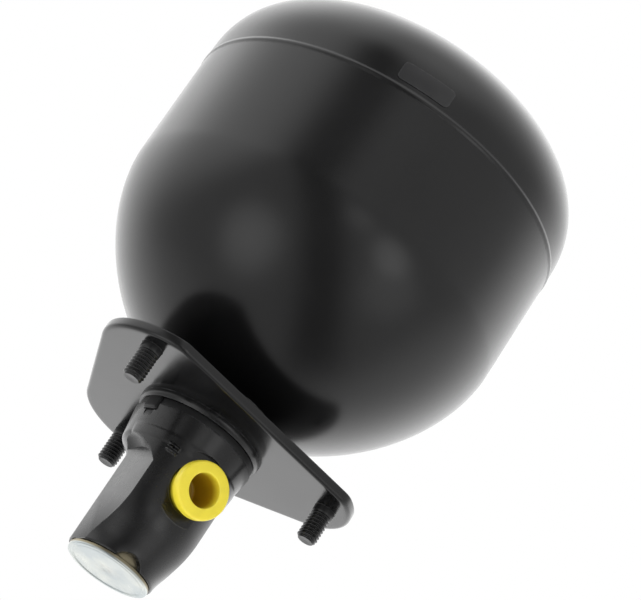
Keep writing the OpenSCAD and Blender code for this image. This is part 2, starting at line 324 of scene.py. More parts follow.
def surface(name, colour, metallic=0.0, rough=0.4, spread=0.06, mottle=0.15, mottle_scale=45.0,
            grain=0.006, grain_scale=900.0, wear=None, wear_amount=0.5, wear_radius=0.5,
            turned_pitch=0.0, turned_depth=0.004):
    """A real surface: mottled colour, uneven gloss, fine relief and worn edges; sizes in mm."""
    g = Graph(name)
    broad = g.noise(mottle_scale, 5.0, 0.6)
    fine = g.noise(grain_scale, 3.0, 0.5)
    dark, light = scaled(colour, 1 - mottle), scaled(colour, 1 + mottle)
    base = g.mix(g.remap(broad, 0.3, 0.7, 0.0, 1.0), dark, light)
    gloss = g.remap(broad, 0.3, 0.7, rough - spread, rough + spread)
    gloss = g.math("ADD", gloss, g.remap(fine, 0.3, 0.7, -spread * 0.4, spread * 0.4))
    if wear is not None:
        edge = g.edges(wear_radius * MM, 0.01, 0.10)
        patchy = g.remap(g.noise(mottle_scale * 9, 4.0, 0.7), 0.42, 0.62, 0.15, 1.0)
        amount = g.math("MULTIPLY", g.math("MULTIPLY", edge, patchy), wear_amount)
        base = g.mix(amount, base, wear)
        gloss = g.math("ADD", gloss, g.math("MULTIPLY", amount, 0.12))
    normal = g.bump(fine, grain * MM)
    if turned_pitch:
        wave = g.math("SINE", g.math("MULTIPLY", g.radius(), 2 * math.pi / (turned_pitch * MM)))
        normal = g.bump(wave, turned_depth * MM, normal)
    g.set("Base Color", base)
    g.set("Roughness", gloss)
    g.set("Metallic", metallic)
    g.set("Normal", normal)
    return g


def make_materials():
    """One material for each finish on the object."""
    chipped = rgb(0.16, 0.16, 0.165)
    made = {
        "black_paint": surface("black_paint", rgb(0.004, 0.004, 0.0042), rough=0.24, spread=0.02,
                               mottle=0.2, grain=0.0012, grain_scale=620, wear=chipped, wear_amount=0.12),
        "flange_paint": surface("flange_paint", rgb(0.006, 0.006, 0.0063), rough=0.2, spread=0.03,
                                mottle=0.2, grain=0.0012, grain_scale=420, wear=chipped, wear_amount=0.35),
        "block_black": surface("block_black", rgb(0.006, 0.006, 0.0063), rough=0.26, spread=0.05,
                               mottle=0.25, grain=0.002, grain_scale=700, wear=chipped, wear_amount=0.4),
        "black_zinc": surface("black_zinc", rgb(0.016, 0.016, 0.0165), metallic=0.3, rough=0.34, spread=0.08,
                              mottle=0.3, grain=0.004, grain_scale=1400, wear=rgb(0.3, 0.3, 0.3),
                              wear_amount=0.25, wear_radius=0.2),
        "steel": surface("steel", rgb(0.5, 0.51, 0.52), metallic=1.0, rough=0.32, spread=0.07, mottle=0.1,
                         grain=0.003, grain_scale=1600, wear=rgb(0.75, 0.75, 0.75), wear_amount=0.4,
                         turned_pitch=0.35, turned_depth=0.0015),
        "brass": surface("brass", rgb(0.68, 0.48, 0.17), metallic=1.0, rough=0.3, spread=0.06, mottle=0.12,
                         grain=0.003, grain_scale=1600, wear=rgb(0.85, 0.68, 0.35), wear_amount=0.4,
                         turned_pitch=0.3, turned_depth=0.0015),
        "rubber": surface("rubber", rgb(0.018, 0.018, 0.018), rough=0.62, spread=0.08, mottle=0.3,
                          grain=0.01, grain_scale=1100, wear=rgb(0.07, 0.07, 0.07), wear_amount=0.4),
        "backup_plastic": surface("backup_plastic", rgb(0.74, 0.71, 0.62), rough=0.5, mottle=0.06,
                                  grain=0.005, wear=rgb(0.85, 0.83, 0.76), wear_amount=0.3),
        "label_film": surface("label_film", rgb(0.014, 0.014, 0.015), rough=0.36, spread=0.05, mottle=0.3,
                              mottle_scale=160, grain=0.004, wear=rgb(0.1, 0.1, 0.1), wear_amount=0.6),
        "zinc": zinc_material(),
        "plug_plastic": plug_material(),
    }
    return {key: graph.material for key, graph in made.items()}


def zinc_material():
    """Bright zinc plate: turned rings, a cool face, a warm side darkened with painted shade, and a smeared
    middle.
    """
    g = surface("zinc", rgb(0.425, 0.465, 0.47), metallic=0.85, rough=0.32, spread=0.06, mottle=0.05,
                mottle_scale=120, grain=0.004, grain_scale=1500, turned_pitch=0.42, turned_depth=0.004)
    base = g.shader.inputs["Base Color"].links[0].from_socket
    tint = g.remap(g.noise(90, 3.0, 0.5), 0.45, 0.75, 0.0, 0.45)
    warm = g.mix(tint, base, rgb(0.84, 0.82, 0.70))
    # The side above the face gets the plating's warm tint and is also darkened with painted shade, as it sits
    # in shade.
    face_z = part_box("end_plug")[0].z
    edge = g.remap(g.parts()["Z"], face_z + 0.35 * MM, face_z + 0.75 * MM, 0.0, 1.0)
    warm = g.mix(edge, warm, rgb(0.24, 0.21, 0.14))
    smear_r = 4.5 * MM
    middle = g.remap(g.radius(), 0.0, smear_r, 1.0, 0.0)
    smear = g.math("MULTIPLY", middle, g.remap(g.noise(700, 5.0, 0.7), 0.45, 0.6, 0.0, 0.8))
    g.set("Base Color", g.mix(smear, warm, rgb(0.36, 0.35, 0.33)))
    return g


def plug_material():
    """Moulded polyethylene: soft, slightly see-through, with painted shade darkening it down in its recess.
    """
    g = surface("plug_plastic", rgb(0.89, 0.74, 0.045), rough=0.42, spread=0.05, mottle=0.04,
                mottle_scale=220, grain=0.008, grain_scale=800, wear=rgb(0.95, 0.88, 0.22),
                wear_amount=0.5, wear_radius=0.6)
    base = g.shader.inputs["Base Color"].links[0].from_socket
    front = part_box("port_plug")[0].y
    # Painted shade: the base colour turns dark ochre deeper down the recess, where shade falls, not a colour
    # of the plastic.
    deep = g.remap(g.parts()["Y"], front + 0.3 * MM, front + 3.5 * MM, 0.0, 1.0)
    from_axis = g.length(g.parts()["X"], g.math("SUBTRACT", g.parts()["Z"], PORT_Z))
    inside = g.remap(from_axis, RECESS_R * MM, (RECESS_R + 0.45) * MM, 1.0, 0.0)
    g.set("Base Color", g.mix(g.math("MULTIPLY", deep, inside), base, rgb(0.48, 0.30, 0.008)))
    g.set("Subsurface Weight", 0.05)
    g.set("Subsurface Radius", (1.0, 0.7, 0.08))
    g.set("Subsurface Scale", 0.8 * MM)
    return g


# ---------------------------------------------------------------- vessel
def head(r, depth, power, steps, hole_r):
    """Quarter superellipse from its rim to the radius of the hole at its pole."""
    last = math.degrees(math.acos((hole_r / r) ** (power / 2)))
    curve = []
    for i in range(steps + 1):
        a = math.radians(last * i / steps)
        curve.append((r * math.cos(a) ** (2 / power), depth * math.sin(a) ** (2 / power)))
    return curve


def bottom_centre_z():
    """Height of the rim of the fluid shell's bottom, from where the neck's hole cuts it."""
    share = (1 - (NECK_HOLE_R / VESSEL_R) ** BOTTOM_POWER) ** (1 / BOTTOM_POWER)
    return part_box("fluid_shell")[0].z + BOTTOM_DEPTH * share


def shell(name, outer, inner, seam_side):
    """Closed shell between an outer and an inner curve, with a small weld bevel at the seam."""
    bevel = 0.12 * MM
    rim_out = (VESSEL_R - bevel, seam_side)
    return lathe(name, [rim_out] + outer + inner[::-1] + [(VESSEL_R - WALL, seam_side)], 200, True, 30)


def make_vessel(look):
    """The deep cup that holds the oil and the shallow dome over the gas."""
    inner_r = VESSEL_R - WALL
    low = bottom_centre_z()
    outer = [(VESSEL_R, z) for z in np.linspace(SEAM_Z - 0.5 * MM, low + 1 * MM, 9)]
    outer += [(r, low - d) for r, d in head(VESSEL_R, BOTTOM_DEPTH, BOTTOM_POWER, 72, NECK_HOLE_R)]
    inner = [(inner_r, SEAM_Z - 5 * MM)]
    inner += [(r, low - d) for r, d in head(inner_r, BOTTOM_DEPTH - WALL, BOTTOM_POWER, 30, NECK_HOLE_R)]
    half_gap = 0.3 * MM
    fluid = shell("vessel_fluid_shell", outer, inner, SEAM_Z - half_gap)
    settle(fluid, "fluid_shell", look)

    edge = 0.2 * MM
    outer = [(VESSEL_R, SEAM_Z + 0.5 * MM)]
    outer += [(r, DOME_LOW + d) for r, d in head(VESSEL_R, DOME_DEPTH, DOME_POWER, 56, TOP_FLAT_R)]
    outer += [(TOP_FLAT_R - edge, DOME_TOP), (FILL_HOLE_R + edge, DOME_TOP), (FILL_HOLE_R, DOME_TOP - edge)]
    inner = [(inner_r, SEAM_Z + 2 * MM)]
    inner += [(r, DOME_LOW + d) for r, d in head(inner_r, DOME_DEPTH - WALL, DOME_POWER, 26, FILL_HOLE_R)]
    gas = shell("vessel_gas_shell", outer, inner, SEAM_Z + half_gap)
    settle(gas, "gas_shell", look)


def settle(obj, node, look, body="reservoir"):
    """Gives a piece its node's material and its body, and lets it stand for that CAD node."""
    obj.data.materials.clear()
    obj.data.materials.append(look[SLOTS[node]])
    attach(obj, body)
    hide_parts(node)
    return obj


def bead_ripple(depth, count):
    """Ripples of a machine-made weld bead, as a change of radius."""
    def wobble(r, z, a):
        ripple = depth * (0.6 * math.sin(count * a) + 0.4 * math.sin(0.37 * count * a + 1.3))
        return r + ripple, z + 0.6 * ripple
    return wobble


def make_seam(look):
    """Flat machine-welded bead between the two shells."""
    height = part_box("seam_weld")[1].x - VESSEL_R
    half, deep, root, steps = 1.0 * MM, 1.2 * MM, 0.02 * MM, 16
    section = [(VESSEL_R - deep, SEAM_Z - half), (VESSEL_R - deep, SEAM_Z + half)]
    for k in range(steps + 1):
        along = 1 - 2 * k / steps
        rise = height * (0.5 + 0.5 * math.cos(math.pi * along))
        section.append((VESSEL_R + root + rise, SEAM_Z + half * along))
    bead = lathe("seam_weld_bead", section, 480, True, 60, bead_ripple(0.012 * MM, 140))
    settle(bead, "seam_weld", look)


def make_neck_weld(look):
    """Hand-laid fillet bead between the neck and the vessel's bottom."""
    low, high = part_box("neck_weld")
    wide, tall, steps = high.x - NECK_HOLE_R, high.z - low.z, 8
    section = [(NECK_HOLE_R, high.z), (NECK_HOLE_R, low.z + 0.1 * MM)]
    for k in range(steps + 1):
        t = k / steps
        bulge = 0.54 * MM * math.sin(math.pi * t)
        section.append((NECK_HOLE_R + wide * t + bulge, low.z + tall * t - bulge))
    bead = lathe("neck_fillet_weld", section, 240, True, 60, bead_ripple(0.09 * MM, 44))
    settle(bead, "neck_weld", look)


def make_label(look):
    """Blank identification plate: a thin film with rounded corners, bent round the dome."""
    low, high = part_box("rating_label")
    corners = [Vector(v.co) for v in frame["nodes"]["rating_label"].data.vertices]
    angles = [math.atan2(c.y, c.x) for c in corners]
    start, end = min(angles), max(angles)
    across, up, thick, corner = 36, 16, 0.22 * MM, 1.2 * MM
    width, tall = (end - start) * VESSEL_R, high.z - low.z

    def dome_radius(z):
        share = max(0.0, (z - DOME_LOW) / DOME_DEPTH)
        return VESSEL_R * (1 - share ** DOME_POWER) ** (1 / DOME_POWER)

    def spot(i, j, lift):
        s, t = (i / across - 0.5) * width, (j / up - 0.5) * tall
        pull = max(0.0, abs(t) - (tall / 2 - corner))
        reach = width / 2 - corner + math.sqrt(max(corner ** 2 - pull ** 2, 0.0))
        s = max(-reach, min(reach, s))
        z = (low.z + high.z) / 2 + t
        a = (start + end) / 2 + s / VESSEL_R
        r = dome_radius(z) + lift
        return (r * math.cos(a), r * math.sin(a), z)

    lifts = (0.02 * MM, thick)
    points = [spot(i, j, lift) for lift in lifts for j in range(up + 1) for i in range(across + 1)]
    layer = (across + 1) * (up + 1)
    faces = []
    for j in range(up):
        for i in range(across):
            a = j * (across + 1) + i
            quad = (a, a + 1, a + across + 2, a + across + 1)
            faces.append(quad)
            faces.append(tuple(q + layer for q in reversed(quad)))
    ring = list(range(across + 1))
    ring += [j * (across + 1) + across for j in range(1, up + 1)]
    ring += [up * (across + 1) + i for i in range(across - 1, -1, -1)]
    ring += [j * (across + 1) for j in range(up - 1, 0, -1)]
    for a, b in zip(ring, ring[1:] + ring[:1]):
        faces.append((a, b, b + layer, a + layer))
    label = add_mesh("rating_label_plate", points, faces, 40)
    weld(label)
    finish_mesh(label, 40)
    settle(label, "rating_label", look)


# ---------------------------------------------------------------- flange and studs
def flange_outline():
    """Evenly spaced points round the flange, from the CAD node's box."""
    count = 480
    corner_d = (PLATE_HIGH.y - PLATE_HIGH.x) / (1 - math.cos(math.radians(30)))
    corner_r = PLATE_HIGH.y - corner_d
    fillet = 5.9 * MM
    corner = Vector((corner_d * math.cos(math.radians(30)), -corner_d / 2))
    fillet_y = PLATE_LOW.y + fillet
    reach = corner_r - fillet
    fillet_x = corner.x + math.sqrt(reach ** 2 - (fillet_y - corner.y) ** 2)
    turn = math.degrees(math.atan2(fillet_y - corner.y, fillet_x - corner.x))

    def arc(cx, cy, r, start, end):
        steps = 60
        angles = [math.radians(start + (end - start) * k / steps) for k in range(steps + 1)]
        return [Vector((cx + r * math.cos(a), cy + r * math.sin(a))) for a in angles]

    path = arc(fillet_x, fillet_y, fillet, -90, turn)
    path += arc(corner.x, corner.y, corner_r, turn, 30)
    path += arc(0, corner_d, corner_r, 30, 150)
    path += arc(-corner.x, corner.y, corner_r, 150, 180 - turn)
    path += arc(-fillet_x, fillet_y, fillet, 180 - turn, 270)
    path.append(path[0])
    run = [0.0]
    for a, b in zip(path, path[1:]):
        run.append(run[-1] + (b - a).length)
    xs = np.interp(np.linspace(0, run[-1], count, endpoint=False), run, [p.x for p in path])
    ys = np.interp(np.linspace(0, run[-1], count, endpoint=False), run, [p.y for p in path])
    return np.stack([xs, ys], 1)


def plate_normals(outline):
    """Outward directions at the outline's points."""
    along = np.roll(outline, -3, 0) - np.roll(outline, 3, 0)
    along /= np.linalg.norm(along, axis=1)[:, None]
    return np.stack([along[:, 1], -along[:, 0]], 1)


def make_flange(look):
    """Stamped plate: rolled lower edge, sharper upper edge, a slightly uneven face."""
    outline = flange_outline()
    normals = plate_normals(outline)
    thick, roll, edge, hole_r = PLATE_HIGH.z, 1.1 * MM, 0.35 * MM, 11.3 * MM
    rows = []

    def inset_row(inset, z):
        rows.append(np.column_stack([outline - normals * inset, np.full(len(outline), z)]))

    def face_rows(z, order):
        rim = outline - normals * roll
        unit = rim / np.linalg.norm(rim, axis=1)[:, None]
        for share in order:
            flat = unit * hole_r * (1 - share) + rim * share
            wave = 0.02 * MM * np.sin(flat[:, 0] / (9 * MM) + 1) * np.cos(flat[:, 1] / (11 * MM))
            rows.append(np.column_stack([flat, z + wave * share * (1 - share) * 4]))

    face_rows(0.0, np.linspace(0, 0.97, 9))
    for k in range(7):
        a = math.radians(15 * k)
        inset_row(roll * (1 - math.sin(a)), roll * (1 - math.cos(a)))
    for k in range(5):
        a = math.radians(22.5 * k)
        inset_row(edge * (1 - math.cos(a)), thick - edge * (1 - math.sin(a)))
    face_rows(thick, np.linspace(0.97, 0, 9))
    plate = add_mesh("mounting_plate", np.concatenate(rows), skin(len(rows), len(outline), joined=True), 35)
    far, shank_r, head_r, head_low = 6 * MM, 3.23 * MM, 4.43 * MM, 1.57 * MM
    cutters = []
    for centre in stud_centres():
        hole = lathe("cutter", [(0, -far), (shank_r, -far), (shank_r, head_low), (head_r, head_low),
                                (head_r, far), (0, far)], 64)
        hole.data.transform(Matrix.Translation(centre))
        cutters.append(hole)
    cut(plate, cutters)
    settle(plate, "mounting_flange", look)


def stud_centres():
    """Centres of the three studs in the flange's lower face."""
    angles = [math.radians(a) for a in (90, 210, 330)]
    return [Vector((STUD_CIRCLE_R * math.cos(a), STUD_CIRCLE_R * math.sin(a), 0)) for a in angles]


def threaded_rows(crest, depth, pitch, start, end, step, fade):
    """Heights along a right-hand thread and its radius there, fading in at its first end."""
    def radius(z, a):
        turn = (z / pitch - a / (2 * math.pi)) % 1.0
        tooth = min(1.0, max(0.0, 2.6 * abs(turn - 0.5) - 0.15))
        strength = min(1.0, max(0.0, abs(z - start) / fade))
        return crest - depth * (1 - tooth) * strength
    count = int(abs(end - start) / step)
    return [start + (end - start) * i / count for i in range(count + 1)], radius


def make_studs(look):
    """Three M6 studs with rolled threads, a plain collar and a proud head."""
    pitch, depth, segments = 1.0 * MM, 0.5 * MM, 44
    collar, collar_r, tip = 1.7 * MM, STUD_R * 1.015, 0.9 * MM
    crest = STUD_R
    heights, radius = threaded_rows(crest, depth, pitch, -collar, STUD_LOW.z, 0.11 * MM, 0.8 * MM)
    head_r, head_low, head_top = 4.4 * MM, 1.6 * MM, STUD_HIGH.z
    press_r, edge = 3.2 * MM, 0.05 * MM
    profile = list(rounded([(0, head_top, 0), (head_r, head_top, 0.35 * MM), (head_r, head_low, edge),
                            (press_r, head_low, edge), (press_r, edge, edge)], 3))
    profile += [(collar_r, 0.0), (collar_r, -collar * 0.8)]
    rings = [[(r, z)] * segments for r, z in profile]
    for z in heights:
        chamfer = crest - max(0.0, (tip - (z - STUD_LOW.z))) * 0.85
        rings.append([(min(radius(z, 2 * math.pi * k / segments), chamfer), z) for k in range(segments)])
    tip_r, dish_r, dish = crest - tip * 0.95 - 0.3 * MM, 0.4 * MM, 0.12 * MM
    rings += [[(tip_r, STUD_LOW.z)] * segments, [(dish_r, STUD_LOW.z + dish)] * segments]
    points, faces = [], []
    for centre in stud_centres():
        faces += skin(len(rings), segments, len(points))
        points += turned_points(rings, centre)
    studs = add_mesh("threaded_studs", points, faces, 38)
    settle(studs, "mounting_studs", look)


# ---------------------------------------------------------------- valve body
# The block's shape in millimetres and degrees, as in the CAD
BLOCK_LOW = BODY_LOW.z / MM
# Hub, narrowed by its forging draft from DRAFT_Z down, with a lip on top and a cone below
HUB_R = 18.2
HUB_LOW_R = 16.9
HUB_H = 13.2
DRAFT_Z = -4.6
LIP_R = 18.9
LIP_LOW = -2.1
SHOULDER_H = 3.2
# Barrel below the hub, and the lug on the port's side, which tapers to the barrel from TAPER_Z down
BARREL_R = 13.0
LUG_R = 17.1
TAPER_Z = -33.0
# Round-ended flats, and the spot face round the port
FLAT_HALF = 12.4
FLAT_TOP = -13.9
CUTTER_R = 17.0
SEAT_Y = -16.3
SEAT_R = 10.4
# Lock ring, its groove and its squared end
RING_Z = -3.2
RING_H = 2.0
RING_R = 17.9
GROOVE_R = 16.0
RING_END_FROM = -179.0
RING_END_TURN = 17.0
RING_END_LOW = -6.4
RING_END_R = 18.7
# Round notch at the barrel's lower end
NOTCH_TURN = -9.0
NOTCH_R = 4.6
NOTCH_H = 2.4
# Punched mark beside the port
MARK_TURN = -127
MARK_Z = -14.5
# Bores along the block's axis, and the wire ring's groove in the plug's bore
SOCKET_R = 11.04
SOCKET_END = -11.8
PASSAGE_R = 4.5
CHAMBER_R = 5.5
CHAMBER_TOP = -16.5
GUIDE_R = 8
GUIDE_TOP = -27
PLUG_BORE_R = 11.75
PLUG_BORE_TOP = -39.2
WIRE_GROOVE_R = 12.25
WIRE_GROOVE_LOW = -43.48
WIRE_GROOVE_HIGH = -42.42
# Recess in the transport plug
RECESS_R = 4.65


def smin(a, b, k):
    """Smooth minimum that blends over a distance of k."""
    h = np.clip(0.5 + 0.5 * (b - a) / k, 0, 1)
    return b * (1 - h) + a * h - k * h * (1 - h)


def smax(a, b, k):
    """Smooth maximum that blends over a distance of k."""
    return -smin(-a, -b, k)


def block_distance(x, y, z):
    """About the distance in mm to the block's outside, negative inside it.

    The last number of each smin and smax is the size of the fillet or rounding made there."""
    taper_end, lug_overlap, rim_top, notch_from = 2, 2, 0.5, 10
    rho = np.sqrt(x * x + y * y)
    run, fall = HUB_LOW_R - BARREL_R, SHOULDER_H
    slope = math.hypot(run, fall)
    cone = ((rho - HUB_LOW_R) * fall - (z + HUB_H) * run) / slope
    draft = (HUB_R - HUB_LOW_R) * np.clip((DRAFT_Z - z) / (DRAFT_Z + HUB_H), 0, 1)
    hub = smax(rho - HUB_R + draft, cone, 0.35)
    lip = smax(rho - LIP_R, LIP_LOW - z, 1.5)
    barrel = smax(rho - BARREL_R, BLOCK_LOW - z, 0.7)
    run, fall = LUG_R - BARREL_R, abs(BLOCK_LOW + taper_end - TAPER_Z)
    slope = math.hypot(run, fall)
    taper = ((rho - LUG_R) * fall - (z - TAPER_Z) * run) / slope
    lug = smax(smax(rho - LUG_R, taper, 1.4), y, 1.5)
    lug = smax(lug, z + HUB_H - lug_overlap, 0.3)
    body = smin(smin(hub, barrel, 1.6), lug, 0.9)
    body = smin(body, smax(lip, z - rim_top, 0.3), 0.5)
    groove = np.maximum(GROOVE_R - rho, np.abs(z - RING_Z) - RING_H / 2)
    body = smax(body, -groove, 0.1)
    t = math.radians(NOTCH_TURN)
    across, ahead = x * math.cos(t) + y * math.sin(t), -x * math.sin(t) + y * math.cos(t)
    below = z - BLOCK_LOW - NOTCH_H + NOTCH_R
    notch = np.maximum(np.sqrt(across ** 2 + below ** 2) - NOTCH_R, ahead + notch_from)
    body = smax(body, -notch, 0.35)
    return punch_mark(body, x, y, z)


def punch_mark(body, x, y, z):
    """Punched slot with two raised lips beside the port, where the hub meets the lug."""
    half, proud, slant = 1.2, 0.35, 0.12
    lip_apart, lip_r, slot_deep, slot_r = 0.8, 0.36, 0.3, 0.55
    along = (np.arctan2(y, x) - math.radians(MARK_TURN)) * LUG_R
    depth = np.sqrt(x * x + y * y) - LUG_R - proud
    rise = z - MARK_Z + slant * along
    reach = np.maximum(np.abs(along) - half, 0)
    lips = np.sqrt(reach ** 2 + depth ** 2 + (np.abs(rise) - lip_apart) ** 2) - lip_r
    slot = np.sqrt(reach ** 2 + (depth + slot_deep) ** 2 + rise ** 2) - slot_r
    return smax(smin(body, lips, 0.5), -slot, 0.25)


def skin_radius(angle, z):
    """Radius in mm where a ray from the axis last leaves the block."""
    far, least, step, halvings = LIP_R + 1.5, 9.5, 0.25, 9
    c, s = np.cos(angle), np.sin(angle)
    outer = np.full(angle.shape, far)
    found = np.zeros(angle.shape, bool)
    inner = outer.copy()
    for r in np.arange(far, least, -step):
        inside = (block_distance(r * c, r * s, z) < 0) & ~found
        inner = np.where(inside, r, inner)
        outer = np.where(inside, r + step, outer)
        found |= inside
    inner = np.where(found, inner, least)
    outer = np.where(found, outer, least)
    for _ in range(halvings):
        middle = (inner + outer) / 2
        inside = block_distance(middle * c, middle * s, z) < 0
        inner, outer = np.where(inside, middle, inner), np.where(inside, outer, middle)
    return inner


def block_heights():
    """Heights of the block's rows in mm, close together where its outline changes fast."""
    spans = [(0.0, -9.2, 0.12), (-9.2, -12.0, 0.4), (-12.0, -18.0, 0.2), (-18.0, -42.8, 0.42)]
    spans.append((-42.8, BLOCK_LOW, 0.12))
    heights = []
    for start, end, step in spans:
        heights += list(np.linspace(start, end, int(round((start - end) / step)), endpoint=False))
    return np.array(heights + [BLOCK_LOW])


def make_valve_body(look):
    """Turned and milled block, closed at both ends, then bored for the valve and the port."""
    heights, columns = block_heights(), 400
    angles = np.linspace(0, 2 * math.pi, columns, endpoint=False)
    grid_a, grid_z = np.meshgrid(angles, heights)
    radius = skin_radius(grid_a, grid_z)
    xs, ys = radius * np.cos(grid_a), radius * np.sin(grid_a)
    points = np.stack([xs, ys, grid_z], 2).reshape(-1, 3) * MM
    block = add_mesh("valve_block", points, skin(len(heights), columns), 40)
    pockets = [pocket_cutter(0.2, RING_END_LOW - 0.15, RING_Z + RING_H / 2, HUB_R - 1.4, 0.3),
               pocket_cutter(-0.9, RING_END_LOW - 2.0, RING_END_LOW + 0.3, HUB_R - 0.6, 0.8)]
    cut(block, pockets + flat_cutters() + [valve_bore_cutter(), port_cutter()])
    settle(block, "valve_body", look)


def flat_cutters():
    """The two milled flats: a round-ended slot on each side of the lug."""
    steps, reach, far = 120, 60.0, LIP_R + 4
    slope, drop, spare = 2.2, -1.3, 0.1
    centre = FLAT_TOP - CUTTER_R
    outline = [(-CUTTER_R, centre - reach)]
    outline += [(-CUTTER_R * math.cos(math.pi * k / steps), centre + CUTTER_R * math.sin(math.pi * k / steps))
                for k in range(steps + 1)]
    outline.append((CUTTER_R, centre - reach))
    count, made = len(outline), []
    layers = ((FLAT_HALF, drop), (FLAT_HALF + slope, spare), (far, spare))
    for side in (-1, 1):
        points = [(side * x * MM, y * MM, (z + rise) * MM) for x, rise in layers for y, z in outline]
        faces = [tuple(range(count)), tuple(range(2 * count, 3 * count))]
        for start in (0, count):
            faces += [(start + k, start + (k + 1) % count, start + count + (k + 1) % count, start + count + k)
                      for k in range(count)]
        made.append(add_mesh("cutter", points, faces))
    return made


def pocket_cutter(spare, low, high, inner, corner):
    """Pocket round the ring's end: spare width at each side, heights, floor radius and corner size."""
    columns, far = 40, LIP_R + 2
    half = RING_END_TURN / 2 + math.degrees(spare / HUB_R)
    width = math.radians(2 * half) * HUB_R
    points = []
    for k in range(columns + 1):
        a = math.radians(RING_END_FROM + RING_END_TURN / 2 - half + 2 * half * k / columns)
        from_end = min(k, columns - k) / columns * width
        rise = corner - math.sqrt(max(corner ** 2 - max(corner - from_end, 0) ** 2, 0))
        for radius, z in ((inner, low + rise), (far, low + rise), (far, high), (inner, high)):
            points.append((radius * MM * math.cos(a), radius * MM * math.sin(a), z * MM))
    return add_mesh("cutter", points, skin(columns + 1, 4))


def valve_bore_cutter():
    """Everything bored along the block's axis: neck socket, valve chamber and plug bore."""
    spare = 2
    return lathe("cutter", [(r * MM, z * MM) for r, z in [
        (0, spare), (SOCKET_R, spare), (SOCKET_R, SOCKET_END), (PASSAGE_R, SOCKET_END),
        (PASSAGE_R, CHAMBER_TOP), (CHAMBER_R, CHAMBER_TOP), (CHAMBER_R, GUIDE_TOP), (GUIDE_R, GUIDE_TOP),
        (GUIDE_R, PLUG_BORE_TOP), (PLUG_BORE_R, PLUG_BORE_TOP), (PLUG_BORE_R, WIRE_GROOVE_HIGH),
        (WIRE_GROOVE_R, WIRE_GROOVE_HIGH), (WIRE_GROOVE_R, WIRE_GROOVE_LOW),
        (PLUG_BORE_R, WIRE_GROOVE_LOW), (PLUG_BORE_R, BLOCK_LOW - spare), (0, BLOCK_LOW - spare)]], 96)


def port_cutter():
    """Side port: spot face, countersink, M14 x 1.5 thread, pipe socket and passage."""
    crest, depth, pitch, segments = 7.0 * MM, 0.8 * MM, 1.5 * MM, 64
    mouth, bottom, far = -SEAT_Y * MM, 8.8 * MM, 8 * MM
    heights, radius = threaded_rows(crest, depth, pitch, bottom, mouth, 0.14 * MM, 1.0 * MM)
    passage_r, passage_end, pipe_r, pipe_end, floor_z = 2.75, 0.5, 4.05, 6.2, 8.75
    profile = [(0.02, passage_end), (passage_r, passage_end), (passage_r, pipe_end), (pipe_r, pipe_end),
               (pipe_r, floor_z), (6.2, floor_z)]
    rings = [[(r * MM, z * MM)] * segments for r, z in profile]
    for z in heights:
        countersink = 7.35 * MM - (mouth - z)
        rings.append([(max(radius(z, 2 * math.pi * k / segments), countersink), z) for k in range(segments)])
    rings += [[(SEAT_R * MM, z)] * segments for z in (mouth, mouth + far)]
    return turn_to_port(add_mesh("cutter", turned_points(rings), skin(len(rings), segments)))


def make_lock_ring(look):
    """Open flat ring in the hub's groove, with its squared end in the hub's pocket."""
    columns, gap, corner = 300, 2.5, 0.18
    half = RING_H / 2 - 0.03
    start = math.radians(RING_END_FROM + 1)
    sweep = math.radians(360 - gap)
    low_z, high_z, inner_r = RING_Z - half, RING_Z + half, GROOVE_R + 0.05
    section = rounded([(inner_r, RING_Z, 0), (inner_r, high_z, corner), (RING_R, high_z, corner),
                       (RING_R, low_z, corner), (inner_r, low_z, corner), (inner_r, RING_Z - 0.01, 0)])
    points = []
    for k in range(columns + 1):
        a = start + sweep * k / columns
        points += [(r * MM * math.cos(a), r * MM * math.sin(a), z * MM) for r, z in section]
    ring = add_mesh("neck_lock_ring_open", points, skin(columns + 1, len(section)), 40)
    settle(ring, "neck_lock_ring", look)

    block = add_end_block()
    slot = SLOTS["neck_lock_ring"]
    block.data.materials.append(look[slot])
    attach(block, "reservoir")


def add_end_block():
    """The ring's squared end as a soft-edged block bent to the hub's radius."""
    top, low, inner_r = RING_Z + RING_H / 2 - 0.05, RING_END_LOW, GROOVE_R + 0.9
    size = (math.radians(RING_END_TURN) * HUB_R, RING_END_R - inner_r, top - low)
    bpy.ops.mesh.primitive_cube_add(size=1)
    block = bpy.context.object
    block.name = "neck_lock_ring_end"
    for vertex in block.data.vertices:
        vertex.co = Vector((vertex.co.x * size[0], vertex.co.y * size[1], vertex.co.z * size[2]))
    work = bmesh.new()
    work.from_mesh(block.data)
    bmesh.ops.bevel(work, geom=work.edges[:], offset=0.55, segments=5, affect="EDGES", profile=0.5)
    long_edges = [e for e in work.edges if e.calc_length() > 1.5]
    bmesh.ops.subdivide_edges(work, edges=long_edges, cuts=7, use_grid_fill=True)
    middle_a = math.radians(RING_END_FROM + RING_END_TURN / 2)
    middle_r = (RING_END_R + inner_r) / 2
    middle_z = (top + low) / 2
    for vertex in work.verts:
        a = middle_a + vertex.co.x / HUB_R
        r = middle_r + vertex.co.y
        vertex.co = Vector((r * math.cos(a), r * math.sin(a), middle_z + vertex.co.z)) * MM
    work.to_mesh(block.data)
    work.free()
    return finish_mesh(block, 50)


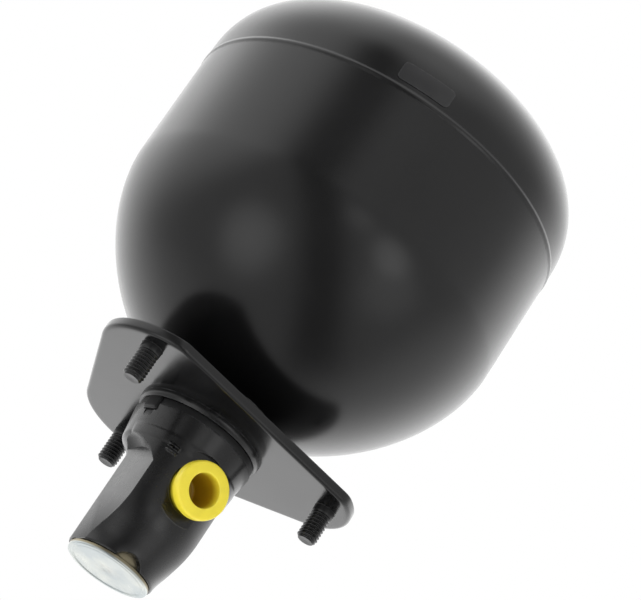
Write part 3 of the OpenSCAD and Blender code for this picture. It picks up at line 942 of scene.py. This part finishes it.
def make_end_plug(look):
    """Zinc-plated plug: two seal and ring grooves inside, a rimmed face with a centre mark outside."""
    low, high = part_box("end_plug")
    cap_r, cap_low = high.x / MM, low.z / MM
    rim = BLOCK_LOW - 0.03
    plug_r, top, seal_r, seal_high, seal_low, ring_r = 11.7, -39.3, 9.75, -39.9, -42.1, 11.2
    inside = [(0, top, 0), (ring_r, top, 0.2), (plug_r, top - 0.4, 0.1), (plug_r, seal_high, 0.1),
              (seal_r, seal_high, 0.1), (seal_r, seal_low, 0.1), (plug_r, seal_low, 0.1),
              (plug_r, WIRE_GROOVE_HIGH, 0.1), (ring_r, WIRE_GROOVE_HIGH, 0.1),
              (ring_r, WIRE_GROOVE_LOW, 0.1), (plug_r, WIRE_GROOVE_LOW, 0.1)]
    side = [(plug_r, rim + 0.5, 0.3), (plug_r + 0.2, rim, 0.1), (cap_r, rim, 0.2),
            (cap_r, cap_low + 0.05, 0.5)]
    # Each step of the face: in from the rim, up from the lowest point, rounding
    steps = [(0.55, 0.02, 0.3), (1.15, 0.02, 0.2), (1.35, 0.22, 0.15), (1.7, 0.26, 0.2), (1.95, 0.12, 0.2),
             (4.4, 0.16, 2), (10.2, 0.2, 0.5), (11.2, 0.3, 0.4), (cap_r, 0.34, 0)]
    face = [(cap_r - inward, cap_low + up, size) for inward, up, size in steps]
    plug = lathe("end_plug_cap", rounded(in_mm(inside + side + face)), 160, False, 40)
    settle(plug, "end_plug", look)


def make_port_plug(look):
    """Moulded transport plug with a rounded flange, a blind recess and two grip rings."""
    low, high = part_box("port_plug")
    flange_r, front, back, tail = high.x / MM, -low.y / MM, 19.3, -high.y / MM
    shank_r, waist_r, pip_r = 6.2, 5.95, 0.7
    shank = [(0, tail, 0), (5.4, tail, 0.3), (6.0, tail + 0.9, 0.3), (shank_r, tail + 1.6, 0.2),
             (shank_r, tail + 3.2, 0.2), (waist_r, tail + 3.5, 0.2), (waist_r, tail + 4.4, 0.2),
             (shank_r, tail + 4.7, 0.2), (shank_r, back, 0.3)]
    flange = [(flange_r, back, 0.6), (flange_r, front - 0.2, 0.9), (flange_r - 1, front, 0.8)]
    recess = [(RECESS_R + 0.1, front, 0.35), (RECESS_R - 0.15, front - 3.2, 1.5),
              (RECESS_R - 0.4, tail + 1.6, 0.8), (pip_r + 0.3, tail + 1.3, 0.4), (pip_r, tail + 1.7, 0.2),
              (0, tail + 1.7, 0)]
    profile = rounded(in_mm(shank + flange + recess), 7)
    plug = turn_to_port(lathe("port_transport_plug", profile, 128, False, 45))
    settle(finish_mesh(plug, 45), "port_plug", look, "transport_plug")


# ---------------------------------------------------------------- inside
def make_spring(look):
    """Compression spring with closed ends, standing on the end plug."""
    low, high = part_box("poppet_spring")
    wire, turns, sides = 0.4 * MM, 8.5, 12
    coil_r = high.x - wire
    steps = int(turns * 40)
    closed_turns, closed_rise = 0.11, 0.055
    points = []
    for i in range(steps + 1):
        t = i / steps
        rise = np.interp(t, [0, closed_turns, 1 - closed_turns, 1], [0, closed_rise, 1 - closed_rise, 1])
        z = low.z + wire + (high.z - low.z - 2 * wire) * rise
        a = 2 * math.pi * turns * t
        for k in range(sides):
            b = 2 * math.pi * k / sides
            r = coil_r + wire * math.cos(b)
            points.append((r * math.cos(a), r * math.sin(a), z + wire * math.sin(b)))
    spring = add_mesh("poppet_coil_spring", points, skin(steps + 1, sides), 50)
    settle(spring, "poppet_spring", look)
    squash_along_z(spring)


def make_diaphragm(look):
    """Moulded rubber cup with a thick bead at its rim and shallow ribs round its side."""
    low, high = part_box("diaphragm")
    outside_r, wall, bead, bead_h = high.x, 2.2 * MM, 1.6 * MM, 4 * MM
    rib, hole_r = 0.12 * MM, 5 * MM
    inner_r = outside_r - wall
    centre_z = bottom_centre_z()
    depth = centre_z - low.z
    outer = [(outside_r, high.z)]
    for i, (r, d) in enumerate(head(outside_r, depth, BOTTOM_POWER, 60, hole_r)):
        outer.append((r - (rib if i % 4 == 0 else 0), centre_z - d))
    inner = [(inner_r - bead, high.z), (inner_r - bead, high.z - bead_h), (inner_r, high.z - bead_h - 1 * MM)]
    inner += [(r, centre_z - d) for r, d in head(inner_r, depth - wall, BOTTOM_POWER, 50, hole_r)]
    cup = lathe("rubber_diaphragm", outer + inner[::-1], 144, True, 50)
    settle(cup, "diaphragm", look)
    squash_along_z(cup)


def squash_along_z(obj):
    """Gives a piece its own copy of its mesh."""
    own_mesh(obj)


def dress_cad_nodes(look):
    """Procedural finishes for the CAD nodes that are shown as they are."""
    for name, obj in frame["nodes"].items():
        if obj.hide_render:
            continue
        material = look[SLOTS[name]]
        if not obj.material_slots:
            obj.data.materials.append(material)
        for slot in obj.material_slots:
            slot.material = material


# ---------------------------------------------------------------- studio
# The long lens stands low and to the left of the port
CAMERA_PLACE = Vector((-0.3553, -0.7455, -0.2985))
CAMERA_TURN = (117.031, -30.762, -40.616)
CAMERA_LENS = 181.3
FLOOR_Z = -0.42
# Studio brightness in front of the part and behind it
STUDIO_BASE = 0.63
STUDIO_BEHIND = 1.58
# Soft panels: azimuth, elevation, half width and soft edge in degrees, and gain
PANELS = [
    (-161, -36, 3, 19, 0.95),
    (150, 30, 20, 30, 0.82),
    (-109, 4, 2, 9, 0.45),
    (-83, -3, 4, 11, 0.95),
    (-70, -18, 6, 15, 0.40),
    (40, 82, 20, 42, 0.55),
    (-120, 50, 6, 20, 0.35),
    (5, -12, 14, 36, 0.50),
    (108, -48, 12, 24, 0.30),
]
# Dark gap between the panels: two directions along it, half width, soft edge and darkness
GAP_LINE = ((-145, 26), (-94, -49))
GAP_HALF = 5
GAP_SOFT = 13
GAP_DARK = 0.30


def make_stage():
    """Pale floor well below the part; it can be seen through from underneath."""
    size = 9.0
    points = [(size * x, size * y, FLOOR_Z) for x, y in ((-1, -1), (1, -1), (1, 1), (-1, 1))]
    floor = add_mesh("studio_floor", points, [(0, 1, 2, 3)])
    g = Graph("floor_pale")
    tone = g.remap(g.noise(1.5, 3.0), 0.3, 0.7, 0.84, 0.88)
    colour = g.node("ShaderNodeCombineColor")
    for socket in colour.inputs[:3]:
        g.feed(socket, tone)
    g.set("Base Color", colour.outputs[0])
    g.set("Roughness", 0.7)
    back = g.node("ShaderNodeNewGeometry").outputs["Backfacing"]
    g.set("Alpha", g.math("SUBTRACT", 1.0, back))
    floor.data.materials.append(g.material)
    floor.visible_glossy = False


def make_world():
    """White studio, brighter behind the part, with soft panels and a dark gap on the lens's side."""
    world = bpy.data.worlds.new("studio")
    bpy.context.scene.world = world
    world.use_nodes = True
    tree = world.node_tree
    place = tree.nodes.new("ShaderNodeTexCoord").outputs["Generated"]

    def math_node(operation, a, b):
        made = tree.nodes.new("ShaderNodeMath")
        made.operation = operation
        for socket, value in zip(made.inputs, (a, b)):
            if isinstance(value, bpy.types.NodeSocket):
                tree.links.new(value, socket)
            else:
                socket.default_value = value
        return made.outputs[0]

    def facing(direction):
        made = tree.nodes.new("ShaderNodeVectorMath")
        made.operation = "DOT_PRODUCT"
        made.inputs[1].default_value = direction
        tree.links.new(place, made.inputs[0])
        return made.outputs["Value"]

    def ramp(value, start, end, low, high):
        made = tree.nodes.new("ShaderNodeMapRange")
        made.interpolation_type = "SMOOTHSTEP"
        tree.links.new(value, made.inputs["Value"])
        for name, number in (("From Min", start), ("From Max", end), ("To Min", low), ("To Max", high)):
            made.inputs[name].default_value = number
        return made.outputs["Result"]

    strength = ramp(facing(-toward_lens()), 0.05, 0.9, STUDIO_BASE, STUDIO_BEHIND)
    for azimuth, elevation, wide, soft, gain in PANELS:
        near, far = math.cos(math.radians(wide + soft)), math.cos(math.radians(wide))
        panel = ramp(facing(direction_of(azimuth, elevation)), near, far, 0.0, gain)
        strength = math_node("ADD", strength, panel)
    start, end = (direction_of(*corner) for corner in GAP_LINE)
    off_line = math_node("ABSOLUTE", facing(start.cross(end).normalized()), 0.0)
    near, far = math.sin(math.radians(GAP_HALF)), math.sin(math.radians(GAP_HALF + GAP_SOFT))
    gap = ramp(off_line, near, far, GAP_DARK, 1.0)
    on_lens_side = ramp(facing(toward_lens()), 0.1, 0.5, 0.0, 1.0)
    share = math_node("SUBTRACT", 1.0, math_node("MULTIPLY", on_lens_side, math_node("SUBTRACT", 1.0, gap)))
    strength = math_node("MULTIPLY", strength, share)
    choose = tree.nodes.new("ShaderNodeMix")
    tree.links.new(tree.nodes.new("ShaderNodeLightPath").outputs["Is Camera Ray"], choose.inputs[0])
    tree.links.new(strength, choose.inputs[2])
    choose.inputs[3].default_value = 1.0
    tree.links.new(choose.outputs[0], tree.nodes["Background"].inputs["Strength"])
    tree.nodes["Background"].inputs["Color"].default_value = rgb(1.0, 1.0, 1.0)


def direction_of(azimuth, elevation):
    """Unit vector towards an azimuth, counted from +X, and an elevation, in degrees."""
    a, e = math.radians(azimuth), math.radians(elevation)
    return Vector((math.cos(a) * math.cos(e), math.sin(a) * math.cos(e), math.sin(e)))


def toward_lens():
    return CAMERA_PLACE.normalized()


def make_camera():
    """Long lens from the photographed side."""
    data = bpy.data.cameras.new("camera")
    data.sensor_width = 36
    data.lens = CAMERA_LENS
    camera = bpy.data.objects.new("camera", data)
    camera.location = CAMERA_PLACE
    camera.rotation_euler = Euler([math.radians(a) for a in CAMERA_TURN], "XYZ")
    data.clip_start, data.clip_end = 0.01, 50
    bpy.context.scene.collection.objects.link(camera)
    bpy.context.scene.camera = camera
    bpy.context.scene.view_settings.view_transform = "Standard"


look = make_materials()
make_vessel(look)
make_seam(look)
make_neck_weld(look)
make_label(look)
make_flange(look)
make_studs(look)
make_valve_body(look)
make_lock_ring(look)
make_end_plug(look)
make_port_plug(look)
make_spring(look)
make_diaphragm(look)
dress_cad_nodes(look)
make_stage()
make_world()
make_camera()
